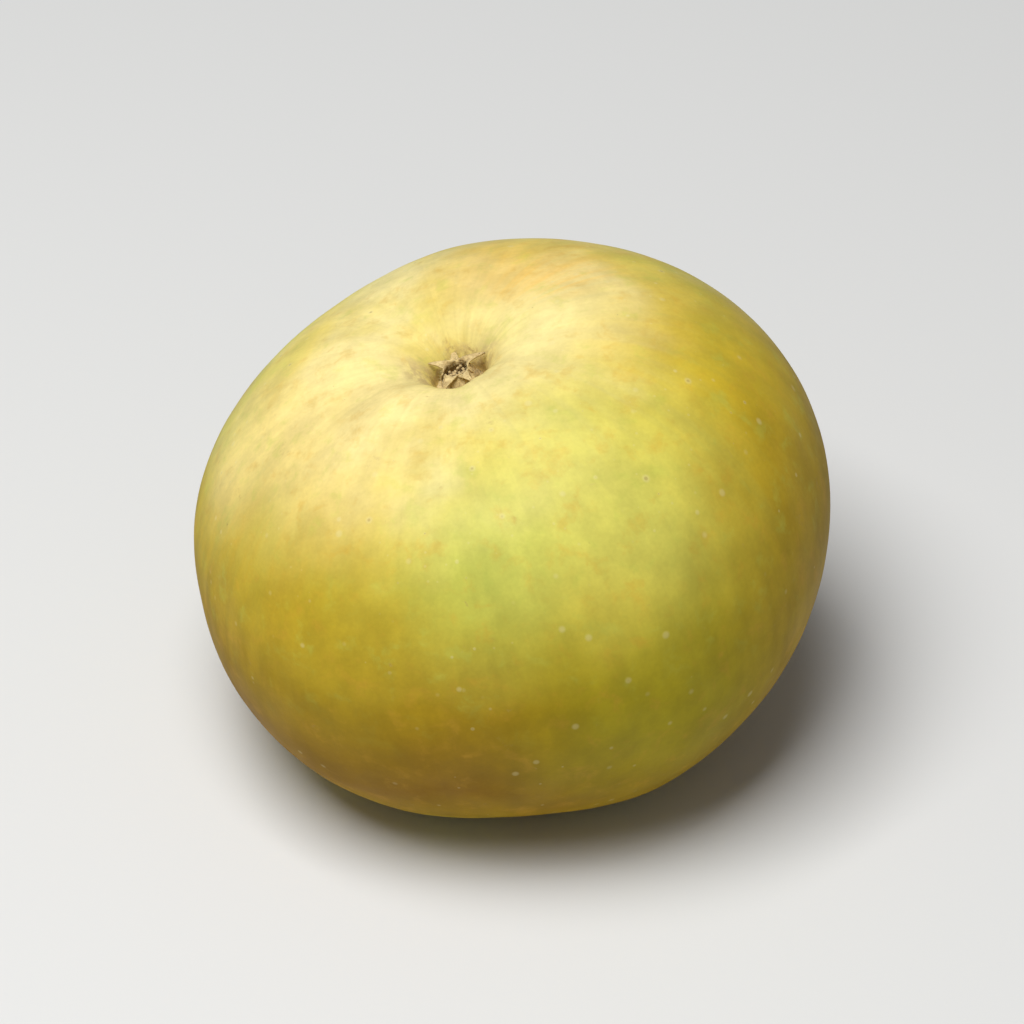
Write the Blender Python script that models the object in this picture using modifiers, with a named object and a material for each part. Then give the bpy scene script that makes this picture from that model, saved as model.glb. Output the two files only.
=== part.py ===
"""A whole russet apple that stands on its stalk end, with its eye up.

Metres, +Z up. The origin is on the surface that the apple stands on, under the
middle of the fruit. The fruit is lopsided: its eye end leans towards -X.
"""

import math

import bmesh
import bpy
from mathutils import Vector
from mathutils.geometry import interpolate_bezier

MM = 0.001

# Driving dimensions of the fruit, before its lobes and its lean
WIDTH = 73.0 * MM
HEIGHT = 52.5 * MM
WIDEST_HEIGHT = 0.51 * HEIGHT
CROWN_RADIUS = 10.5 * MM
BASIN_DEPTH = 4.8 * MM
EYE_PIT_RADIUS = 3.0 * MM
EYE_PIT_DEPTH = 1.6 * MM
BASE_RADIUS = 14.5 * MM
CAVITY_DEPTH = 10.5 * MM
STALK_PIT_RADIUS = 2.6 * MM
STALK_PIT_DEPTH = 1.0 * MM

# Each arc of the half outline, on its way from the eye pit to the stalk pit: how full it
# is at its start and at its end, and its steps. 0.55 twice is an ellipse's quarter.
EYE_PIT_ARC = (0.60, 0.40, 3)
BASIN_ARC = (0.35, 0.66, 8)
SHOULDER_ARC = (0.53, 0.60, 13)
SIDE_ARC = (0.52, 0.50, 11)
CAVITY_ARC = (0.40, 0.34, 8)
STALK_PIT_ARC = (0.50, 0.50, 3)

# The lean of the core and the fruit's uneven growth, as shares of its radius
LEAN = math.radians(15.5)
LOPSIDED = 0.050
OVAL = 0.010
OVAL_TURN = 0.7
THREE_SIDED = 0.008
THREE_SIDED_TURN = -1.1

# The five low ribs, which are strongest on the crown and round the base
LOBES = 5
LOBE_TURN = math.radians(20)
UNEVEN_LOBES = 0.3
BIG_LOBE_TURN = -2.1
SIDE_LOBE = 0.30 * MM
CROWN_LOBE = 0.40 * MM
BASE_LOBE = 0.30 * MM
CROWN_LOBE_REACH = 9.0 * MM
BASE_LOBE_REACH = 8.0 * MM
FLAT_SPOT = 0.35 * MM

# Sides of the fruit's mesh, round its axis
SIDES = 72
GAP = 0.3 * MM

# The dried flower in the eye: five sepals on a small cup
SEPALS = 5
SEPAL_LENGTH = 4.8 * MM
SEPAL_WIDTH = 2.7 * MM
SEPAL_THICKNESS = 0.45 * MM
SEPAL_CUPPING = 0.25
CUP_RADIUS = 2.5 * MM
CUP_DEPTH = 1.3 * MM
STYLE_HEIGHT = 1.3 * MM

# A sepal's middle line as a Bezier curve: (share of the cup's radius, share of its length)
SEPAL_LINE = ((0.82, -0.05), (1.25, 0.28), (0.30, 0.62), (1.45, 0.50))

# The stalk, which hangs from the roof of its cavity
STALK_RADIUS = 1.1 * MM
STALK_LENGTH = 8.2 * MM
STALK_BEND = 1.6 * MM
STALK_ROOT = 1.15
STALK_WAIST = 0.30
STALK_KNOB = 0.60

SKIN_COLOUR = (0.68, 0.60, 0.17, 1.0)
SEPAL_COLOUR = (0.20, 0.15, 0.08, 1.0)
STALK_COLOUR = (0.16, 0.09, 0.04, 1.0)


def clear_scene():
    """Remove every object of the scene that the script starts in."""
    for item in list(bpy.data.objects):
        bpy.data.objects.remove(item, do_unlink=True)


def new_collection(name, hidden=False):
    """Make a collection under the scene's own."""
    group = bpy.data.collections.new(name)
    group.hide_render = hidden
    bpy.context.scene.collection.children.link(group)
    return group


def material(name, colour, roughness):
    """Make a plain Principled material."""
    finish = bpy.data.materials.new(name)
    finish.use_nodes = True
    finish.diffuse_color = colour
    shader = finish.node_tree.nodes["Principled BSDF"]
    shader.inputs["Base Color"].default_value = colour
    shader.inputs["Roughness"].default_value = roughness
    shader.inputs["Metallic"].default_value = 0.0
    return finish


def add_object(name, mesh, group, finish=None):
    """Put a mesh in the scene as a named, smooth-shaded object."""
    item = bpy.data.objects.new(name, mesh)
    group.objects.link(item)
    if finish:
        mesh.materials.clear()
        mesh.materials.append(finish)
    mesh.shade_smooth()
    return item


def evaluated_mesh(item):
    """The mesh of an object with its modifiers applied."""
    bpy.context.view_layer.update()
    graph = bpy.context.evaluated_depsgraph_get()
    return bpy.data.meshes.new_from_object(item.evaluated_get(graph))


def smoothstep(low, high, value):
    """0 below low, 1 above high, and a smooth rise between them."""
    share = min(1.0, max(0.0, (value - low) / (high - low)))
    return share * share * (3 - 2 * share)


def nearness(distance, reach):
    """1 at no distance, falling off smoothly over the reach."""
    return math.exp(-((distance / reach) ** 2))


def quarter_points(level, upright, level_fullness, upright_fullness, steps):
    """Points of a quarter arc, from its level end to its upright end.

    The ends are (radius, height), and the points lie on the XZ plane.
    """
    radius_change = level_fullness * (upright[0] - level[0])
    height_change = upright_fullness * (level[1] - upright[1])
    corners = (
        level,
        (level[0] + radius_change, level[1]),
        (upright[0], upright[1] + height_change),
        upright,
    )
    return interpolate_bezier(*[Vector((radius, 0.0, height)) for radius, height in corners], steps + 1)


def profile_points():
    """Points of the fruit's half outline on the XZ plane, from the eye pit to the stalk pit.

    The outline is level and upright in turn where its arcs meet.
    """
    eye_floor = (0.0, HEIGHT - BASIN_DEPTH - EYE_PIT_DEPTH)
    eye_rim = (EYE_PIT_RADIUS, HEIGHT - BASIN_DEPTH)
    crown = (CROWN_RADIUS, HEIGHT)
    widest = (WIDTH / 2, WIDEST_HEIGHT)
    base = (BASE_RADIUS, 0.0)
    stalk_rim = (STALK_PIT_RADIUS, CAVITY_DEPTH - STALK_PIT_DEPTH)
    stalk_roof = (0.0, CAVITY_DEPTH)
    knots = (eye_floor, eye_rim, crown, widest, base, stalk_rim, stalk_roof)
    arcs = (EYE_PIT_ARC, BASIN_ARC, SHOULDER_ARC, SIDE_ARC, CAVITY_ARC, STALK_PIT_ARC)
    points = []
    for number, (start_fullness, end_fullness, steps) in enumerate(arcs):
        start, end = knots[number], knots[number + 1]
        if number % 2 == 0:
            points += quarter_points(start, end, start_fullness, end_fullness, steps)[:-1]
        else:
            points += quarter_points(end, start, end_fullness, start_fullness, steps)[:0:-1]
    points.append(Vector((0.0, 0.0, CAVITY_DEPTH)))
    return points


def turned_mesh(points, group):
    """Turn a half outline round the Z axis into a closed mesh."""
    outline = bpy.data.meshes.new("outline")
    outline.from_pydata(points, [(i, i + 1) for i in range(len(points) - 1)], [])
    item = add_object("outline", outline, group)
    screw = item.modifiers.new("turn", "SCREW")
    screw.axis = "Z"
    screw.steps = SIDES
    screw.render_steps = SIDES
    screw.use_merge_vertices = True
    screw.merge_threshold = 0.01 * MM
    screw.use_smooth_shade = True
    mesh = evaluated_mesh(item)
    bpy.data.objects.remove(item, do_unlink=True)
    return mesh


def lobed(point):
    """A point of the turned fruit, moved by the ribs and the uneven growth."""
    radius = math.hypot(point.x, point.y)
    turn = math.atan2(point.y, point.x)
    rise = point.z / HEIGHT
    wave = math.cos(LOBES * (turn - LOBE_TURN)) * (1 + UNEVEN_LOBES * math.cos(turn - BIG_LOBE_TURN))
    swell = 1 + OVAL * math.cos(2 * turn - OVAL_TURN)
    swell += THREE_SIDED * math.cos(3 * turn - THREE_SIDED_TURN)
    swell += LOPSIDED * math.cos(turn) * smoothstep(0.0, 0.6, rise)
    out = radius * swell + SIDE_LOBE * wave * smoothstep(0.0, CROWN_RADIUS, radius)
    near_crown = nearness(radius - CROWN_RADIUS, CROWN_LOBE_REACH) * smoothstep(0.5, 0.9, rise)
    near_base = nearness(radius - BASE_RADIUS, BASE_LOBE_REACH) * smoothstep(0.4, 0.1, rise)
    up = wave * (CROWN_LOBE * near_crown - BASE_LOBE * near_base)
    return Vector((out * math.cos(turn), out * math.sin(turn), point.z + up))


def leaned(point):
    """The same point with the fruit's core bent towards -X, more so towards the eye."""
    angle = LEAN * point.z / HEIGHT
    shift = -0.5 * LEAN * point.z * point.z / HEIGHT
    return Vector((
        point.x * math.cos(angle) + shift,
        point.y,
        point.z + point.x * math.sin(angle),
    ))


def seated(point):
    """The same point with the flat spot pressed into the base."""
    return Vector((point.x, point.y, max(0.0, point.z - FLAT_SPOT)))


def grown(point):
    """Where a point of the turned fruit is on the real one, before it is centred."""
    return seated(leaned(lobed(point)))


def middle_of(points):
    """The middle of some points' box, seen from above."""
    xs = [point.x for point in points]
    ys = [point.y for point in points]
    return Vector(((min(xs) + max(xs)) / 2, (min(ys) + max(ys)) / 2, 0.0))


def build_fruit(group, helpers):
    """The fruit, as one solid with its eye basin and stalk cavity.

    Returns how far the fruit was moved to stand over the origin.
    """
    mesh = turned_mesh(profile_points(), helpers)
    places = [grown(vertex.co) for vertex in mesh.vertices]
    centring = -middle_of(places)
    for vertex, place in zip(mesh.vertices, places):
        vertex.co = place + centring
    add_object("apple_body", mesh, group, material("apple_skin", SKIN_COLOUR, 0.42))
    return centring


def sepal_line_point(share):
    """The middle line of a sepal as (radius, height) above the cup, at 0 to 1 of its length."""
    rest = 1 - share
    weights = (rest ** 3, 3 * rest * rest * share, 3 * rest * share * share, share ** 3)
    radius = sum(weight * out for weight, (out, _) in zip(weights, SEPAL_LINE))
    height = sum(weight * up for weight, (_, up) in zip(weights, SEPAL_LINE))
    return radius * CUP_RADIUS, height * SEPAL_LENGTH


def sepal_half_width(share):
    """Half the width of a sepal at 0 to 1 of its length."""
    tip = 0.12
    return 0.5 * SEPAL_WIDTH * (tip + (1 - tip) * math.cos(0.5 * math.pi * share))


def build_sepal(number, group):
    """One sepal as a thickened, curled sheet."""
    rows, columns = 7, 4
    sheet = bmesh.new()
    bmesh.ops.create_grid(sheet, x_segments=columns, y_segments=rows, size=1.0)
    heading = (number + 0.25 * math.sin(2.3 * number)) * math.tau / SEPALS + LOBE_TURN
    for vertex in sheet.verts:
        share = (vertex.co.y + 1) / 2
        across = vertex.co.x * sepal_half_width(share)
        radius, height = sepal_line_point(share)
        radius -= SEPAL_CUPPING * across * across / sepal_half_width(0.0)
        vertex.co = Vector((
            radius * math.cos(heading) - across * math.sin(heading),
            radius * math.sin(heading) + across * math.cos(heading),
            height,
        ))
    mesh = bpy.data.meshes.new("sepal")
    sheet.to_mesh(mesh)
    sheet.free()
    item = add_object(f"sepal_{number}", mesh, group)
    thicken = item.modifiers.new("thicken", "SOLIDIFY")
    thicken.thickness = SEPAL_THICKNESS
    thicken.offset = 0.0
    solid = add_object(f"sepal_solid_{number}", evaluated_mesh(item), group)
    bpy.data.objects.remove(item, do_unlink=True)
    return solid


def cone_mesh(name, bottom, top, low, high, sides=20):
    """A cone on the Z axis between two heights."""
    shape = bmesh.new()
    bmesh.ops.create_cone(
        shape, cap_ends=True, segments=sides, radius1=bottom, radius2=top, depth=high - low
    )
    bmesh.ops.translate(shape, verts=shape.verts, vec=(0.0, 0.0, (low + high) / 2))
    mesh = bpy.data.meshes.new(name)
    shape.to_mesh(mesh)
    shape.free()
    return mesh


def build_calyx(group, helpers, centring):
    """The dried flower: a cup that fills the eye pit, a style stub and five sepals, joined."""
    cup_shape = cone_mesh("cup", 0.55 * CUP_RADIUS, CUP_RADIUS, -CUP_DEPTH, 0.0)
    stub_shape = cone_mesh("stub", 0.45 * CUP_RADIUS, 0.18 * CUP_RADIUS, -0.3 * CUP_DEPTH, STYLE_HEIGHT, 10)
    cup = add_object("calyx_cup", cup_shape, helpers)
    pieces = new_collection("calyx_pieces", hidden=True)
    add_object("calyx_stub", stub_shape, pieces)
    for number in range(SEPALS):
        build_sepal(number, pieces)
    union = cup.modifiers.new("join", "BOOLEAN")
    union.operation = "UNION"
    union.operand_type = "COLLECTION"
    union.collection = pieces
    union.solver = "MANIFOLD"
    mesh = evaluated_mesh(cup)
    for item in [cup, *pieces.objects]:
        bpy.data.objects.remove(item, do_unlink=True)
    bpy.data.collections.remove(pieces)
    calyx = add_object("calyx", mesh, group, material("dried_sepal", SEPAL_COLOUR, 0.85))
    basin_floor = Vector((0.0, 0.0, HEIGHT - BASIN_DEPTH))
    calyx.location = grown(basin_floor) + centring
    calyx.rotation_euler = (0.0, -LEAN * basin_floor.z / HEIGHT, 0.0)


def build_stalk(group, centring):
    """The stalk: a tapering, slightly bent woody stem with a knob at its free end."""
    steps = 9
    curve = bpy.data.curves.new("stalk", "CURVE")
    curve.dimensions = "3D"
    curve.bevel_depth = STALK_RADIUS
    curve.bevel_resolution = 3
    curve.use_fill_caps = True
    line = curve.splines.new("POLY")
    line.points.add(steps)
    for number, point in enumerate(line.points):
        share = number / steps
        bend = STALK_BEND * share * share
        point.co = (bend, -0.4 * bend, -STALK_LENGTH * share, 1.0)
        waist = STALK_WAIST * math.sin(math.pi * min(1.0, 1.3 * share))
        point.radius = STALK_ROOT - waist + STALK_KNOB * smoothstep(0.62, 0.95, share)
    stalk = bpy.data.objects.new("stalk", curve)
    group.objects.link(stalk)
    curve.materials.append(material("stalk_wood", STALK_COLOUR, 0.8))
    roof = Vector((0.0, 0.0, CAVITY_DEPTH))
    stalk.location = grown(roof) + centring - Vector((0.0, 0.0, GAP))


def main():
    """Build the apple."""
    clear_scene()
    apple = new_collection("apple")
    helpers = new_collection("helpers", hidden=True)
    centring = build_fruit(apple, helpers)
    build_calyx(apple, helpers, centring)
    build_stalk(apple, centring)


main()
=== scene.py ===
"""The looks of a whole russet apple: its skin, its dried flower, its stalk and the light on it.

Metres, +Z up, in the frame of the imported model: the apple stands on z = 0 with its eye up,
and its eye end leans towards -X. The fruit is worked out as a turned shape first, and then
grown: ribbed, leaned and pressed flat where it stands. Colours are linear.
"""

import logging
import math
from dataclasses import dataclass
from enum import Enum

import bpy
import numpy as np
from mathutils import Euler, Matrix, Vector, noise


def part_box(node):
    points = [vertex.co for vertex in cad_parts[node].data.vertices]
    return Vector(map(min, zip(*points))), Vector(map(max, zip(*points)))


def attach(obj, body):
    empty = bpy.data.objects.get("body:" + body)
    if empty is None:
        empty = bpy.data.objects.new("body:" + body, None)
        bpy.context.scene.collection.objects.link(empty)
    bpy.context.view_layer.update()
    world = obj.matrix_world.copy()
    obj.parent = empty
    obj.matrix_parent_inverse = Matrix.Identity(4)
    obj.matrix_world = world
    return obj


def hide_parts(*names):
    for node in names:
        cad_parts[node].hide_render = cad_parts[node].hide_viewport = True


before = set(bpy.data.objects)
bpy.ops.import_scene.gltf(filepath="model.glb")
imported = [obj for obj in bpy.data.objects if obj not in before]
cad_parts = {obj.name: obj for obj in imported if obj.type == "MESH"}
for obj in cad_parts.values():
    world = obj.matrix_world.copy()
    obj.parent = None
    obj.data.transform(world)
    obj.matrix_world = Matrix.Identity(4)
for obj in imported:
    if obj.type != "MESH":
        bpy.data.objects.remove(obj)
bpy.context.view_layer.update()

MM = 0.001
BODY = "root"
LOG = logging.getLogger("apple")

Piece = bpy.types.Object
Material = bpy.types.Material
Socket = bpy.types.NodeSocket
Point = tuple[float, float, float]
Colour = tuple[float, float, float]
Value = Socket | float | Point | Colour
Stops = tuple[tuple[float, Colour], ...]
Span = tuple[float, float]
Rise = tuple[float, float, float, float]
Faces = list[tuple[int, ...]]

ORIGIN = (0.0, 0.0, 0.0)
MIX_FIRST, MIX_SECOND, MIX_COLOUR = 6, 7, 2


class Part(Enum):
    """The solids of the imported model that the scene's pieces stand for."""

    FRUIT = "apple_body"
    CALYX = "calyx"
    STALK = "stalk"


class Slot(Enum):
    """The record's material slots."""

    SKIN = "skin"
    CALYX = "calyx"
    STALK = "stalk"


class Edge(Enum):
    """How the edge of a patch of colour breaks up."""

    SOFT = "soft"
    STREAKED = "streaked"
    NETTED = "netted"


def smoothstep(low: float, high: float, value: np.ndarray) -> np.ndarray:
    """0 at low, 1 at high, and a smooth rise between them; high may be the lower one."""
    share = np.clip((value - low) / (high - low), 0.0, 1.0)
    return share * share * (3 - 2 * share)


def nearness(distance: np.ndarray, reach: float) -> np.ndarray:
    """1 at no distance, falling off smoothly over the reach."""
    return np.exp(-((distance / reach) ** 2))


def ripple(points: np.ndarray, size: float) -> np.ndarray:
    """Smooth noise from about -1 to 1 at some points.

    Args:
        points: rows of x, y, z.
        size: the distance from one bump to the next.

    Returns:
        One number for each point.
    """
    return np.array([noise.noise(Vector(point)) for point in points / size])


def bezier(knots: np.ndarray, shares: np.ndarray) -> np.ndarray:
    """Points of a cubic Bezier curve.

    Args:
        knots: its four control points, one a row.
        shares: where along it the points are, from 0 to 1.

    Returns:
        One point a row.
    """
    rest = 1 - shares
    weights = np.stack([rest ** 3, 3 * rest ** 2 * shares, 3 * rest * shares ** 2, shares ** 3], axis=1)
    return weights @ knots


def grid_faces(rows: int, columns: int, start: int = 0, closed: bool = False) -> Faces:
    """The quads between the points of a grid that is numbered row by row.

    Args:
        rows: how many rows of points the grid has.
        columns: how many points a row has.
        start: the number of its first point.
        closed: whether each row runs round to its own start.

    Returns:
        The faces, wound from each row to the next.
    """
    faces = []
    for row in range(rows - 1):
        for column in range(columns if closed else columns - 1):
            after = (column + 1) % columns
            low, high = start + row * columns, start + (row + 1) * columns
            faces.append((low + column, high + column, high + after, low + after))
    return faces


@dataclass(frozen=True)
class Grain:
    """A kind of noise: the size of its features in metres, its detail and how rough that is."""

    size: float
    detail: float = 2.0
    rough: float = 0.5


class Shell:
    """The points and faces of one piece, gathered before it is made."""

    def __init__(self) -> None:
        """Start with nothing."""
        self.points: list[np.ndarray] = []
        self.faces: Faces = []
        self.count = 0

    def add(self, points: np.ndarray, faces: Faces) -> None:
        """Add points and the faces between them.

        Args:
            points: one point a row.
            faces: the faces, which number the points from 0.
        """
        self.faces += [tuple(corner + self.count for corner in face) for face in faces]
        self.points.append(points)
        self.count += len(points)

    def add_tube(self, path: np.ndarray, radii: np.ndarray, sides: int) -> None:
        """Add a tube with closed ends.

        Args:
            path: the points of its middle line.
            radii: its radius at each of those points.
            sides: how many sides it has.
        """
        ahead = np.gradient(path, axis=0)
        ahead /= np.linalg.norm(ahead, axis=1, keepdims=True)
        helper = np.array([0.0, 0.0, 1.0]) if abs(ahead[0, 2]) < 0.9 else np.array([1.0, 0.0, 0.0])
        across = np.cross(helper, ahead[0])
        turns = np.linspace(0.0, math.tau, sides, endpoint=False)
        rings = []
        for point, way, radius in zip(path, ahead, radii):
            across = across - way * (across @ way)
            across /= np.linalg.norm(across)
            circle = np.outer(np.cos(turns), across) + np.outer(np.sin(turns), np.cross(way, across))
            rings.append(point + radius * circle)
        last = (len(path) - 1) * sides
        faces = []
        for ring in range(0, last, sides):
            for side in range(sides):
                after = (side + 1) % sides
                faces.append((ring + side, ring + after, ring + sides + after, ring + sides + side))
        faces.append(tuple(reversed(range(sides))))
        faces.append(tuple(range(last, last + sides)))
        self.add(np.concatenate(rings), faces)

    def piece(self, name: str, place: Matrix = Matrix()) -> Piece:
        """Make the piece.

        Args:
            name: the name that it gets.
            place: where its points go in the frame.

        Returns:
            A smooth-shaded object whose own place is the origin.
        """
        mesh = bpy.data.meshes.new(name)
        mesh.from_pydata(np.concatenate(self.points).tolist(), [], self.faces)
        mesh.transform(place)
        mesh.validate()
        mesh.shade_smooth()
        item = bpy.data.objects.new(name, mesh)
        bpy.context.scene.collection.objects.link(item)
        return item


class Shader:
    """The nodes of one material, with short ways to add what the finishes need."""

    def __init__(self, name: str) -> None:
        """Start a material with a Principled shader.

        Args:
            name: the name of the material.
        """
        self.material = bpy.data.materials.new(name)
        self.material.use_nodes = True
        self.nodes = self.material.node_tree.nodes
        self.links = self.material.node_tree.links
        self.surface = self.nodes["Principled BSDF"]

    def feed(self, socket: Socket, value: Value) -> None:
        """Join a socket to another one, or set its own value.

        Args:
            socket: the socket of a node's input.
            value: the output to join it to, or the number, vector or colour that it gets.
        """
        if isinstance(value, Socket):
            self.links.new(value, socket)
        elif isinstance(value, tuple) and socket.type == "RGBA":
            socket.default_value = (*value, 1.0)
        else:
            socket.default_value = value

    def set(self, **values: Value) -> None:
        """Feed sockets of the Principled shader, named with _ for a space."""
        for name, value in values.items():
            self.feed(self.surface.inputs[name.replace("_", " ")], value)

    def node(self, kind: str, *values: Value, **settings: str) -> bpy.types.Node:
        """Add a node.

        Args:
            kind: which node, as its type is called after ShaderNode.
            values: what its first inputs are fed with.
            settings: its own settings.

        Returns:
            The node.
        """
        node = self.nodes.new("ShaderNode" + kind)
        for name, setting in settings.items():
            setattr(node, name, setting)
        for socket, value in zip(node.inputs, values):
            self.feed(socket, value)
        return node

    def maths(self, operation: str, first: Value, second: Value) -> Socket:
        """The result of a Math node."""
        return self.node("Math", first, second, operation=operation).outputs[0]

    def times(self, first: Value, second: Value) -> Socket:
        """One number times another."""
        return self.maths("MULTIPLY", first, second)

    def plus(self, first: Value, second: Value, factor: float) -> Socket:
        """A number plus a factor times another."""
        return self.maths("ADD", first, self.times(second, factor))

    def vectors(self, operation: str, first: Value, second: Value) -> Socket:
        """The vector that a Vector Math node gives."""
        return self.node("VectorMath", first, second, operation=operation).outputs["Vector"]

    def scaled(self, vector: Value, factor: Value) -> Socket:
        """A vector times a number."""
        node = self.node("VectorMath", vector, ORIGIN, ORIGIN, factor, operation="SCALE")
        return node.outputs["Vector"]

    def distance(self, first: Value, second: Value) -> Socket:
        """The distance between two points."""
        return self.node("VectorMath", first, second, operation="DISTANCE").outputs["Value"]

    def split(self, vector: Value) -> tuple[Socket, ...]:
        """The x, y and z of a vector."""
        return tuple(self.node("SeparateXYZ", vector).outputs)

    def joined(self, x: Value, y: Value, z: Value) -> Socket:
        """The vector of an x, a y and a z."""
        return self.node("CombineXYZ", x, y, z).outputs[0]

    def attribute(self, name: str) -> Socket:
        """The vector that a mesh keeps under a name."""
        return self.node("Attribute", attribute_name=name).outputs["Vector"]

    def object_place(self) -> Socket:
        """Where the surface is, in metres in the frame."""
        return self.node("TexCoord").outputs["Object"]

    def noise(self, place: Value, grain: Grain) -> bpy.types.Node:
        """Add a Noise Texture node.

        Args:
            place: where the surface is.
            grain: the kind of noise.

        Returns:
            The node.
        """
        node = self.node("TexNoise", place)
        node.inputs["Scale"].default_value = 1 / grain.size
        node.inputs["Detail"].default_value = grain.detail
        node.inputs["Roughness"].default_value = grain.rough
        return node

    def grain(self, place: Value, grain: Grain) -> Socket:
        """Noise from 0 to 1."""
        return self.noise(place, grain).outputs["Fac"]

    def wander(self, place: Value, grain: Grain, amount: float) -> Socket:
        """Move a place about.

        Args:
            place: where the surface is.
            grain: the noise that moves it.
            amount: about how far it moves at most, in metres.

        Returns:
            The moved place.
        """
        noise = self.noise(place, grain).outputs["Color"]
        middle = self.vectors("SUBTRACT", noise, (0.5, 0.5, 0.5))
        return self.vectors("ADD", place, self.scaled(middle, 2 * amount))

    def spots(self, place: Value, spacing: float) -> tuple[Socket, Socket]:
        """Scattered points.

        Args:
            place: where the surface is.
            spacing: the mean distance between neighbouring points, in metres.

        Returns:
            The distance to the nearest point in metres, and a random colour for that point.
        """
        node = self.node("TexVoronoi", place)
        node.inputs["Scale"].default_value = 1 / spacing
        return self.times(node.outputs["Distance"], spacing), node.outputs["Color"]

    def rise(self, value: Value, low: float, high: float, bottom: float = 0.0, top: float = 1.0) -> Socket:
        """A smooth change from bottom to top while a value goes from low to high."""
        node = self.node("MapRange", value, low, high, bottom, top, interpolation_type="SMOOTHSTEP")
        return node.outputs[0]

    def ramp(self, value: Value, stops: Stops) -> Socket:
        """The colour that a value has between some stops.

        Args:
            value: a number from 0 to 1.
            stops: the shares and their colours, from the lowest share up.

        Returns:
            The colour.
        """
        node = self.node("ValToRGB", value)
        points = node.color_ramp.elements
        while len(points) < len(stops):
            points.new(1.0)
        for point, (share, colour) in zip(points, stops):
            point.position = share
            point.color = (*colour, 1.0)
        return node.outputs[0]

    def mix(self, share: Value, first: Value, second: Value, blend: str = "MIX") -> Socket:
        """Mix two colours.

        Args:
            share: how much of the second there is, from 0 to 1.
            first: the colour below.
            second: the colour above.
            blend: how the second one lies on the first.

        Returns:
            The mixed colour.
        """
        node = self.node("Mix", share, data_type="RGBA", blend_type=blend)
        self.feed(node.inputs[MIX_FIRST], first)
        self.feed(node.inputs[MIX_SECOND], second)
        return node.outputs[MIX_COLOUR]

    def lit(self, colour: Value, light: Socket) -> Socket:
        """A colour made lighter or darker by a number."""
        return self.mix(1.0, colour, self.joined(light, light, light), "MULTIPLY")

    def raise_by(self, height_mm: Value) -> None:
        """Give the surface a fine relief.

        Args:
            height_mm: its height, in millimetres.
        """
        node = self.node("Bump")
        node.inputs["Strength"].default_value = 1.0
        node.inputs["Distance"].default_value = MM
        self.feed(node.inputs["Height"], height_mm)
        self.links.new(node.outputs["Normal"], self.surface.inputs["Normal"])


@dataclass(frozen=True)
class Arc:
    """A quarter arc of the fruit's half outline, level at one end and upright at the other."""

    start: Span
    end: Span
    start_fullness: float
    end_fullness: float
    level_first: bool
    spacing: float

    SAMPLES = 200
    FEWEST_ROWS = 3

    def knots(self) -> np.ndarray:
        """Its four control points as (radius, height).

        Returns:
            One point a row.
        """
        wide = self.end[0] - self.start[0]
        high = self.end[1] - self.start[1]
        if self.level_first:
            first = (self.start[0] + self.start_fullness * wide, self.start[1])
            second = (self.end[0], self.end[1] - self.end_fullness * high)
        else:
            first = (self.start[0], self.start[1] + self.start_fullness * high)
            second = (self.end[0] - self.end_fullness * wide, self.end[1])
        return np.array([self.start, first, second, self.end])

    def points(self) -> np.ndarray:
        """Evenly spaced points along it, without its end.

        Returns:
            One point a row, as (radius, height).
        """
        shares = np.linspace(0.0, 1.0, self.SAMPLES)
        curve = bezier(self.knots(), shares)
        steps = np.linalg.norm(np.diff(curve, axis=0), axis=1)
        along = np.concatenate([[0.0], np.cumsum(steps)])
        rows = max(self.FEWEST_ROWS, round(along[-1] / self.spacing))
        wanted = np.linspace(0.0, along[-1], rows + 1)[:-1]
        return np.stack([np.interp(wanted, along, values) for values in curve.T], axis=1)


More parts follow.
